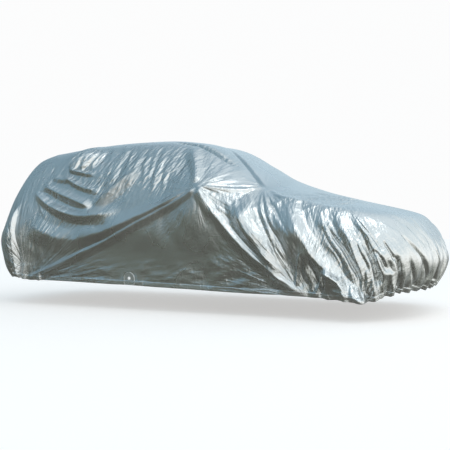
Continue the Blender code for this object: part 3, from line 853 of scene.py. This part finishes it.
def cloth_mesh():
    """One open sheet, which closes on itself along the middle of the tail and down the roof's centre line.

    With it comes the normal at each point of its grid, whose place is in the layer "grid".
    """
    near_points, s, z, length_up, near_shares, near_waves = half_cover(NEAR)
    far_points, _, _, _, far_shares, far_waves = half_cover(FAR)
    outwards = np.array((1, -1, 1))
    form = around(near_points * outwards, far_points) + TO_FRAME
    waves = around(near_waves * outwards, far_waves)
    shares = np.stack([around(near, far) for near, far in zip(near_shares, far_shares)])
    s_loop, z_loop, up_loop = around(s, s), around(z, z), around(length_up, length_up)
    loop = hemmed(buckled(form, s_loop, up_loop, shares, waves))
    along = np.concatenate([s, 2 * s[:, -1:] - s[:, -2::-1]], axis=1)
    along, up_loop, s_loop, z_loop = (with_hem(field) for field in (along, up_loop, s_loop, z_loop))
    loose = with_hem(shares[0] + shares[2])
    rows, columns = loop.shape[0], loop.shape[1] + 1
    bm = bmesh.new()
    bmesh.ops.create_grid(bm, x_segments=columns - 1, y_segments=rows - 1, size=1)
    for vertex, point in zip(bm.verts, closed(loop).reshape(-1, 3)):
        vertex.co = point
    row, column = np.mgrid[:rows, :columns]
    add_layer(bm, "chart", along, closed(up_loop))
    add_layer(bm, "spot", closed(s_loop), closed(z_loop))
    add_layer(bm, "slack", closed(loose), np.zeros((rows, columns)))
    add_layer(bm, "grid", column, row)
    seam = [v for v in bm.verts if v.index % columns in (0, columns - 1) or v.index >= (rows - 1) * columns]
    open_notches(bm, closed(s_loop), closed(up_loop))
    bmesh.ops.remove_doubles(bm, verts=seam, dist=SAME_POINT)
    bmesh.ops.recalc_face_normals(bm, faces=bm.faces[:])
    return mesh_of("cover_cloth_fine", bm), closed(loop_normals(loop))


GRID_END = 1.001  # keeps a place on the grid just inside its last row and column


def coarsened(data, normals):
    """The mesh with fewer faces, shaded with the normals of the fine one."""
    fine = added("cover_cloth_fine", data)
    coarsen = fine.modifiers.new("coarsen", "DECIMATE")
    coarsen.ratio = CLOTH_TRIANGLES / (2 * len(data.polygons))
    depsgraph = bpy.context.evaluated_depsgraph_get()
    coarse = bpy.data.meshes.new_from_object(fine.evaluated_get(depsgraph))
    coarse.name = "cover_cloth_sheet"
    bpy.data.objects.remove(fine)
    bpy.data.meshes.remove(data)
    grid = coarse.uv_layers["grid"]
    places = np.empty(2 * len(coarse.loops))
    grid.data.foreach_get("uv", places)
    corners = np.empty(len(coarse.loops), dtype=int)
    coarse.loops.foreach_get("vertex_index", corners)
    at = np.zeros((len(coarse.vertices), 2))
    at[corners] = places.reshape(-1, 2)
    column, row = (np.clip(at[:, k], 0, normals.shape[1 - k] - GRID_END) for k in (0, 1))
    left, low = column.astype(int), row.astype(int)
    across, up = (column - left)[:, None], (row - low)[:, None]
    below = normals[low, left] * (1 - across) + normals[low, left + 1] * across
    above = normals[low + 1, left] * (1 - across) + normals[low + 1, left + 1] * across
    coarse.uv_layers.remove(grid)
    coarse.shade_smooth()
    coarse.normals_split_custom_set_from_vertices((below * (1 - up) + above * up).tolist())
    return coarse


# ---- eyelets ----


def at_eyelet(bm, side):
    """Moves what was made in the XY plane, facing +Z, onto the cloth's outer face at one eyelet."""
    _, hem_z, lean = hem_at_eyelet()
    away = SIDES[side]
    z = hem_z + EYELET_UP
    tilt = Matrix.Rotation(math.pi / 2 + math.atan(lean), 4, "X")
    face = Matrix.Rotation(0 if away < 0 else math.pi, 4, "Z")
    place = Matrix.Translation(Vector((EYELET_S, float(away * hem_plane_y(z)), float(z))) + Vector(TO_FRAME))
    bmesh.ops.transform(bm, matrix=place @ (face @ tilt), verts=bm.verts[:])


def spun(section, steps, close):
    """A section of (radius, height) points turned about Z."""
    bm = bmesh.new()
    corners = [bm.verts.new((radius, 0, height)) for radius, height in section]
    pairs = list(zip(corners, corners[1:])) + ([(corners[-1], corners[0])] if close else [])
    geom = [*corners, *(bm.edges.new(pair) for pair in pairs)]
    bmesh.ops.spin(bm, geom=geom, axis=(0, 0, 1), angle=2 * math.pi, steps=steps, use_merge=True)
    bmesh.ops.remove_doubles(bm, verts=bm.verts[:], dist=SAME_POINT / 10)
    bmesh.ops.recalc_face_normals(bm, faces=bm.faces[:])
    return bm


def arch_stretch(turn):
    """How far the patch's outline is from the eyelet at an angle, as a share of its head's radius."""
    if turn >= 0:
        return 1.0
    foot = EYELET_UP / (PATCH_WIDTH / 2)
    return min(1 / max(abs(math.cos(turn)), TINY), foot / max(abs(math.sin(turn)), TINY))


def build_patch(side):
    """The arched patch: a disc stretched down to the hem, with a welded rim."""
    head = PATCH_WIDTH / 2
    hole = RING_BARREL + GAP
    rim = head - PATCH_RIM_WIDTH
    section = [
        *((radius, PATCH_FILM) for radius in np.linspace(hole, rim, PATCH_CIRCLES)),
        (rim + PATCH_RIM_SLOPE, PATCH_RIM),
        (head - PATCH_RIM_FALL, PATCH_RIM),
        (head - PATCH_EDGE_ROUND, PATCH_FILM),
        (head, PATCH_EDGE),
    ]
    bm = spun(section, PATCH_STEPS, close=False)
    bm.verts.index_update()
    from_middle = np.array([math.hypot(vertex.co.x, vertex.co.y) for vertex in bm.verts])
    add_layer(bm, "rim", from_middle > rim + PATCH_RIM_SLOPE / 2, from_middle)
    for vertex, away in zip(bm.verts, from_middle):
        x, y, _ = vertex.co
        turn = math.atan2(y, x)
        share = (away - hole) / (head - hole)
        reach = (hole + share * (head * arch_stretch(turn) - hole)) / away
        vertex.co.x, vertex.co.y = x * reach, y * reach
        chart = [np.array(vertex.co[k] / PATCH_RIPPLE_SPANS[k] + FINE_SHIFT) for k in (0, 1)]
        ripple = float(swell(*chart, SLACK_SEED + SIDES[side]))
        vertex.co.z += PATCH_RIPPLE * ripple * share * (1 - share) * 4
    at_eyelet(bm, side)
    data = mesh_of(f"eyelet_patch_{side}_film", bm)
    data.shade_smooth()
    return add_piece(data.name, data, patch_film(), f"eyelet_patch_{side}", slot="patch")


def build_ring(side):
    """The moulded ring: a rounded flange on each face of the patch, and a barrel between them."""
    thick = RING_FRONT - PATCH_RIM
    middle = (RING_HOLE + RING_FLANGE) / 2
    half = (RING_FLANGE - RING_HOLE) / 2
    front = []
    for k in range(RING_ARC_STEPS + 1):
        turn = math.pi * k / RING_ARC_STEPS
        front.append((middle - half * math.cos(turn), PATCH_RIM + thick * math.sin(turn) ** RING_ROUNDNESS))
    back_flange = RING_FLANGE - RING_BACK_INSET
    back = [
        (back_flange, PATCH_FILM),
        (RING_BARREL, PATCH_FILM),
        (RING_BARREL, RING_BACK + RING_FLANGE_SHEET),
        (back_flange, RING_BACK + RING_FLANGE_SHEET),
        (back_flange, RING_BACK),
        (RING_HOLE, RING_BACK),
    ]
    bm = spun([*front, *back], RING_STEPS, close=True)
    at_eyelet(bm, side)
    data = mesh_of(f"eyelet_ring_{side}_moulded", bm)
    data.shade_smooth()
    return add_piece(data.name, data, moulded_plastic(), f"eyelet_ring_{side}", slot="ring")


# ---- finishes ----


class Value:
    """A socket that adds its Math nodes when it is used in an expression."""

    def __init__(self, nodes, socket):
        self.nodes, self.socket = nodes, socket

    def __add__(self, other):
        return self.nodes.maths("ADD", self, other)

    def __sub__(self, other):
        return self.nodes.maths("SUBTRACT", self, other)

    def __rsub__(self, other):
        return self.nodes.maths("SUBTRACT", other, self)

    def __mul__(self, other):
        return self.nodes.maths("MULTIPLY", self, other)

    __radd__, __rmul__ = __add__, __mul__


class Nodes:
    """A node tree to which nodes are added one by one."""

    def __init__(self, tree):
        self.tree = tree

    def node(self, kind, settings=None, inputs=None, output=0):
        made = self.tree.nodes.new(kind)
        for name, value in (settings or {}).items():
            if name == "stops":
                self.set_stops(made.color_ramp, value)
            else:
                setattr(made, name, value)
        for name, value in (inputs or {}).items():
            self.feed(made.inputs[name], value)
        return Value(self, made.outputs[output])

    def set_stops(self, ramp, stops):
        while len(ramp.elements) < len(stops):
            ramp.elements.new(1.0)
        for element, (place, level) in zip(ramp.elements, stops):
            element.position = place
            element.color = (*level, 1) if isinstance(level, tuple) else (level, level, level, 1)

    def feed(self, socket, value):
        if isinstance(value, Value):
            self.tree.links.new(value.socket, socket)
        elif isinstance(value, tuple) and len(value) == 3 and socket.type == "RGBA":
            socket.default_value = (*value, 1)
        else:
            socket.default_value = value

    def maths(self, operation, *values):
        return self.node("ShaderNodeMath", dict(operation=operation), dict(enumerate(values)))

    def vectors(self, operation, inputs, output=0):
        return self.node("ShaderNodeVectorMath", dict(operation=operation), inputs, output)

    def part(self, vector, axis):
        """One coordinate of a vector."""
        return self.node("ShaderNodeSeparateXYZ", inputs={0: vector}, output=axis)

    def ramp(self, value, *stops, low=0.0, high=1.0):
        """A colour or level that follows value through stops, which are places between low and high."""
        placed = [((place - low) / (high - low), level) for place, level in stops]
        spread = (value - low) * (1 / (high - low))
        return self.node("ShaderNodeValToRGB", dict(stops=placed), {0: spread})

    def colour_mix(self, factor, first, second):
        inputs = {"Factor": factor, 6: first, 7: second}
        return self.node("ShaderNodeMix", dict(data_type="RGBA"), inputs, output=2)


class Shader(Nodes):
    """A material with one Principled surface."""

    def __init__(self, name, **constants):
        self.material = bpy.data.materials.new(name)
        self.material.use_nodes = True
        super().__init__(self.material.node_tree)
        self.surface = self.tree.nodes["Principled BSDF"]
        for socket, value in constants.items():
            self.set(socket.replace("_", " ").title(), value)

    def set(self, socket, value):
        self.feed(self.surface.inputs[socket], value)

    def place(self):
        """Where the point lies on the object."""
        return self.node("ShaderNodeTexCoord", output=3)

    def layer(self, name):
        return self.node("ShaderNodeUVMap", dict(uv_map=name))

    def noise(self, place, scale, detail, output=0):
        inputs = {"Vector": place, "Scale": scale, "Detail": detail}
        return self.node("ShaderNodeTexNoise", inputs=inputs, output=output)

    def emboss(self, height, strength, distance):
        inputs = {"Height": height, "Strength": strength, "Distance": distance}
        self.set("Normal", self.node("ShaderNodeBump", inputs=inputs))


Streak = namedtuple("Streak", "share angle length width")
STREAKS = dict(
    rear=(Streak(1, 64, 0.15, 0.032), Streak(0.45, 40, 0.06, 0.019)),
    fore=(Streak(0.7, -62, 0.22, 0.040), Streak(0.3, -85, 0.07, 0.022)),
    low=(Streak(0.5, 6, 0.34, 0.040), Streak(0.4, 80, 0.07, 0.022)),
)
RIDGE_SHARE = 0.3


def streaks(shader, place, region):
    """Drawn-out cones and sharp ridges along two directions, whose edges read as creases."""
    total = 0
    for row in STREAKS[region]:
        turn, size = (0, 0, math.radians(row.angle)), (row.length, row.width, 1)
        turned = shader.node(
            "ShaderNodeMapping",
            dict(vector_type="TEXTURE"),
            {"Vector": place, "Rotation": turn, "Scale": size},
        )
        cones = shader.node(
            "ShaderNodeTexVoronoi",
            dict(voronoi_dimensions="2D"),
            {"Vector": turned, "Scale": 1.0},
        )
        ridges = shader.node(
            "ShaderNodeTexNoise",
            dict(noise_dimensions="2D", noise_type="RIDGED_MULTIFRACTAL"),
            {"Vector": turned, "Scale": 1.3, "Detail": 2.0, "Roughness": 0.5},
        )
        total = total + row.share * (cones + RIDGE_SHARE * ridges)
    return total


Star = namedtuple("Star", "s z reach rays depth")
STARS = (
    Star(0.47, 1.09, 0.42, 9.0, 1.0),
    Star(1.00, 1.13, 0.34, 6.0, 0.7),
    Star(-1.46, 0.22, 1.10, 16.0, 0.8),
    Star(1.50, 0.18, 1.00, 14.0, 0.6),
    Star(-1.40, 1.12, 0.40, 8.0, 0.6),
    Star(2.06, 0.16, 0.40, 6.0, 0.8),
)
STAR_HEART = 0.03
STAR_FADE = 0.1
STAR_CLIMB = 2.0  # how fast the lines change on their way out


def star_creases(shader, spot_s, spot_z):
    """Tight lines that run out from each point where the film is held."""
    total = 0
    for k, star in enumerate(STARS):
        run, climb = spot_s - star.s, spot_z - star.z
        turn = shader.maths("ARCTAN2", climb, run)
        away = shader.maths("SQRT", run * run + climb * climb)
        spread = shader.node("ShaderNodeCombineXYZ", inputs={0: turn * star.rays, 1: away * STAR_CLIMB + k})
        lines = shader.node(
            "ShaderNodeTexNoise",
            dict(noise_dimensions="2D"),
            {"Vector": spread, "Scale": 1.0, "Detail": 3.0, "Roughness": 0.6},
        )
        reach = shader.ramp(away, (0, 0), (STAR_HEART, 1), (star.reach, 0), high=star.reach + STAR_FADE)
        total = total + star.depth * away * reach * lines
    return total


STRIP_S = -0.40
STRIP_Z = 1.11
STRIP_RUN = 0.732  # its way forwards and up, as a unit vector
STRIP_CLIMB = 0.681


def crushed_strip(shader, place, spot_s, spot_z):
    """Share of the finely crushed strip that climbs the near rear quarter, where the film looks matt."""
    run, climb = spot_s - STRIP_S, spot_z - STRIP_Z
    along = shader.maths("ABSOLUTE", STRIP_RUN * run + STRIP_CLIMB * climb)
    across = shader.maths("ABSOLUTE", STRIP_RUN * climb - STRIP_CLIMB * run)
    near = shader.ramp(shader.part(place, 1), (-0.1, 1), (0.1, 0), low=-1)
    return near * shader.ramp(along, (0.22, 1), (0.34, 0)) * shader.ramp(across, (0.035, 1), (0.060, 0))


# heights of the film's creases, its grain, the tight lines and the doubled hem, in bump distances
CREASES = 1.8
GRAIN = 0.45
TIGHT_LINES = 15.0
HEM_STEP = 0.35
SMOOTHER = 0.62  # share of the creases that is missing where the film hangs in swags


def film_creases(shader, place, spot_s, spot_z, loose):
    """Creases that slant back on the rear, forwards on the front, and lie level low down."""
    bend = shader.vectors("SCALE", {0: shader.noise(place, 7, 2, output=1), "Scale": 0.03})
    bent = shader.vectors("ADD", {0: shader.layer("chart"), 1: bend})
    rear, fore, low = (streaks(shader, bent, region) for region in STREAKS)
    creases = rear + shader.ramp(spot_s, (0.25, 0), (0.8, 1)) * (fore - rear)
    panel = shader.ramp(spot_s, (-1.5, 0), (-1.2, 1), (1.1, 1), (1.5, 0), low=-2, high=2)
    creases = creases + shader.ramp(spot_z, (0.40, 1), (0.62, 0)) * panel * (low - creases)
    swags = shader.ramp(spot_s, (-1.75, 0), (-1.45, 1), (-0.80, 1), (-0.62, 0), low=-2, high=0)
    swags = swags * shader.ramp(spot_z, (0.38, 0), (0.52, 1), (1.10, 1), (1.24, 0), high=1.5)
    return creases * (shader.ramp(loose, (0, 0.30), (0.05, 1), high=0.1) * (1 - SMOOTHER * swags))


def silver_film():
    shader = Shader("silver_film", metallic=0.92)
    place, spot = shader.place(), shader.layer("spot")
    spot_s, spot_z = shader.part(spot, 0), shader.part(spot, 1)
    loose = shader.part(shader.layer("slack"), 0)
    up = shader.part(shader.layer("chart"), 1)
    broad, fine = shader.noise(place, 2.2, 3), shader.noise(place, 60, 4)
    height = CREASES * film_creases(shader, place, spot_s, spot_z, loose) + GRAIN * fine
    height = height + TIGHT_LINES * star_creases(shader, spot_s, spot_z)
    height = height + HEM_STEP * shader.ramp(up, (0, 1), (0.038, 1), (0.0415, 0), high=0.1)
    shader.emboss(height, 0.8, 0.006)
    tone = shader.colour_mix(broad, (0.56, 0.59, 0.59), (0.76, 0.79, 0.80))
    # painted highlight: a narrow paler line along the top edge of the doubled hem, where its step catches
    # the light; below it the doubled band is mixed half-way towards paler silver
    doubled = shader.ramp(up, (0, 0.5), (0.039, 0.5), (0.0405, 0.9), (0.042, 0), high=0.1)
    shader.set("Base Color", shader.colour_mix(doubled, tone, (0.82, 0.86, 0.88)))
    shader.set("Roughness", 0.20 + 0.14 * broad + 0.30 * crushed_strip(shader, place, spot_s, spot_z))
    return shader.material


def patch_film():
    shader = Shader("silver_patch_film", metallic=0.88)
    place, rim = shader.place(), shader.part(shader.layer("rim"), 0)
    broad, fine = shader.noise(place, 30, 3), shader.noise(place, 260, 3)
    cones = shader.node("ShaderNodeTexVoronoi", inputs={"Vector": place, "Scale": 55.0})
    shader.emboss(cones + 0.3 * fine, 0.7, 0.001)
    film = shader.colour_mix(broad, (0.60, 0.63, 0.64), (0.78, 0.81, 0.82))
    shader.set("Base Color", shader.colour_mix(rim, film, (0.93, 0.95, 0.95)))
    shader.set("Roughness", 0.26 + 0.14 * broad + 0.15 * rim)
    return shader.material


def moulded_plastic():
    shader = Shader("pale_moulded_plastic", metallic=0.0, coat_weight=0.25)
    place = shader.place()
    broad, fine = shader.noise(place, 90, 2), shader.noise(place, 900, 2)
    shader.emboss(fine, 0.3, 0.0002)
    shader.set("Base Color", shader.colour_mix(broad, (0.80, 0.81, 0.80), (0.90, 0.91, 0.90)))
    shader.set("Roughness", 0.32 + 0.12 * broad)
    return shader.material


def build_cover():
    eyelets = [build(side) for side in SIDES for build in (build_patch, build_ring)]
    sheet = coarsened(*cloth_mesh())
    cloth = add_piece("cover_cloth_sheet", sheet, silver_film(), "cover_cloth", slot="cloth")


# ---- stage, light and camera ----

FLOOR_RADIUS = 30.0


def build_floor():
    bm = bmesh.new()
    bmesh.ops.create_circle(bm, cap_ends=True, segments=96, radius=FLOOR_RADIUS)
    bmesh.ops.translate(bm, verts=bm.verts[:], vec=(0, 0, -ROOF_Z))
    floor = added("floor", mesh_of("floor", bm))
    shader = Shader("floor_pale", base_color=(0.62, 0.60, 0.585), roughness=0.85, emission_strength=0.50)
    shader.set("Emission Color", (1.0, 0.99, 0.98))
    floor.data.materials.append(shader.material)
    floor.visible_glossy = False


# what the film mirrors: a colour for each height of the way there, from straight down, -1, to straight up, 1
BESIDE = (
    (-1.0, (0.065, 0.058, 0.042)),
    (-0.35, (0.080, 0.079, 0.058)),
    (-0.06, (0.146, 0.166, 0.127)),
    (0.03, (0.17, 0.19, 0.16)),
    (0.14, (0.165, 0.245, 0.285)),
    (0.40, (0.225, 0.355, 0.435)),
    (1.0, (0.26, 0.40, 0.50)),
)
BEHIND = (
    (-1.0, (0.12, 0.12, 0.10)),
    (-0.10, (0.24, 0.26, 0.25)),
    (0.05, (0.50, 0.60, 0.66)),
    (0.35, (0.68, 0.86, 0.98)),
    (1.0, (0.33, 0.46, 0.57)),
)
AHEAD = (
    (-1.0, (0.10, 0.10, 0.08)),
    (-0.60, (0.34, 0.355, 0.31)),
    (-0.30, (0.80, 0.79, 0.73)),
    (-0.05, (1.22, 1.20, 1.15)),
    (0.15, (1.48, 1.47, 1.43)),
    (0.50, (0.98, 1.07, 1.11)),
    (1.0, (0.85, 0.95, 1.02)),
)
BACKDROP = (0.975, 0.978, 0.98)
FRONT_LOBE = (0.90, -0.20, 0.40)


def build_world():
    """Dark below and blue above on both sides of the cover, paler behind it, and bright towards its nose."""
    world = bpy.data.worlds.new("studio")
    bpy.context.scene.world = world
    world.use_nodes = True
    nodes = Nodes(world.node_tree)
    way = nodes.node("ShaderNodeTexCoord")
    forward, across, up = (nodes.part(way, axis) for axis in range(3))
    front = nodes.vectors("DOT_PRODUCT", {0: way, 1: FRONT_LOBE}, output=1)
    beside, behind, ahead = (nodes.ramp(up, *stops, low=-1) for stops in (BESIDE, BEHIND, AHEAD))
    sky = nodes.colour_mix(nodes.ramp(across, (0, 0), (0.6, 1), low=-1), beside, behind)
    sky = nodes.colour_mix(nodes.ramp(front, (0.05, 0), (0.5, 1), low=-1), sky, ahead)
    sky = nodes.colour_mix(nodes.ramp(forward, (-0.72, 0.85), (-0.45, 0), low=-1), sky, beside)
    seen = nodes.node("ShaderNodeLightPath")
    nodes.feed(world.node_tree.nodes["Background"].inputs[0], nodes.colour_mix(seen, sky, BACKDROP))


LAMP_AT = Vector((4.0, -3.0, 5.0))
LAMP_AIM = Vector((0.6, 0.0, -0.8))
LAMP_SIZE = 3.0
LAMP_WATTS = 60
LAMP_COLOUR = (1.0, 0.98, 0.95)


def build_lamp():
    data = bpy.data.lights.new("key", "AREA")
    data.energy, data.size, data.color = LAMP_WATTS, LAMP_SIZE, LAMP_COLOUR
    lamp = added("key", data)
    lamp.location = LAMP_AT
    lamp.rotation_euler = (LAMP_AIM - LAMP_AT).to_track_quat("-Z", "Y").to_euler()


CAMERA_AT = (3.83, -7.01, -0.765)
CAMERA_YAW = 25.0
CAMERA_PITCH = -0.25
CAMERA_NEAREST = 0.05
FOCAL_PIXELS = 780
PICTURE_WIDTH = 450
SENSOR = 36.0


def build_camera():
    data = bpy.data.cameras.new("camera")
    data.sensor_width = SENSOR
    data.lens = SENSOR * FOCAL_PIXELS / PICTURE_WIDTH
    data.clip_start = CAMERA_NEAREST
    camera = added("camera", data)
    camera.location = CAMERA_AT
    camera.rotation_euler = (math.radians(90 + CAMERA_PITCH), 0, math.radians(CAMERA_YAW))
    bpy.context.scene.camera = camera


build_camera()
build_world()
build_lamp()
build_floor()
build_cover()
bpy.context.scene.view_settings.view_transform = "Standard"

bpy.context.view_layer.update()
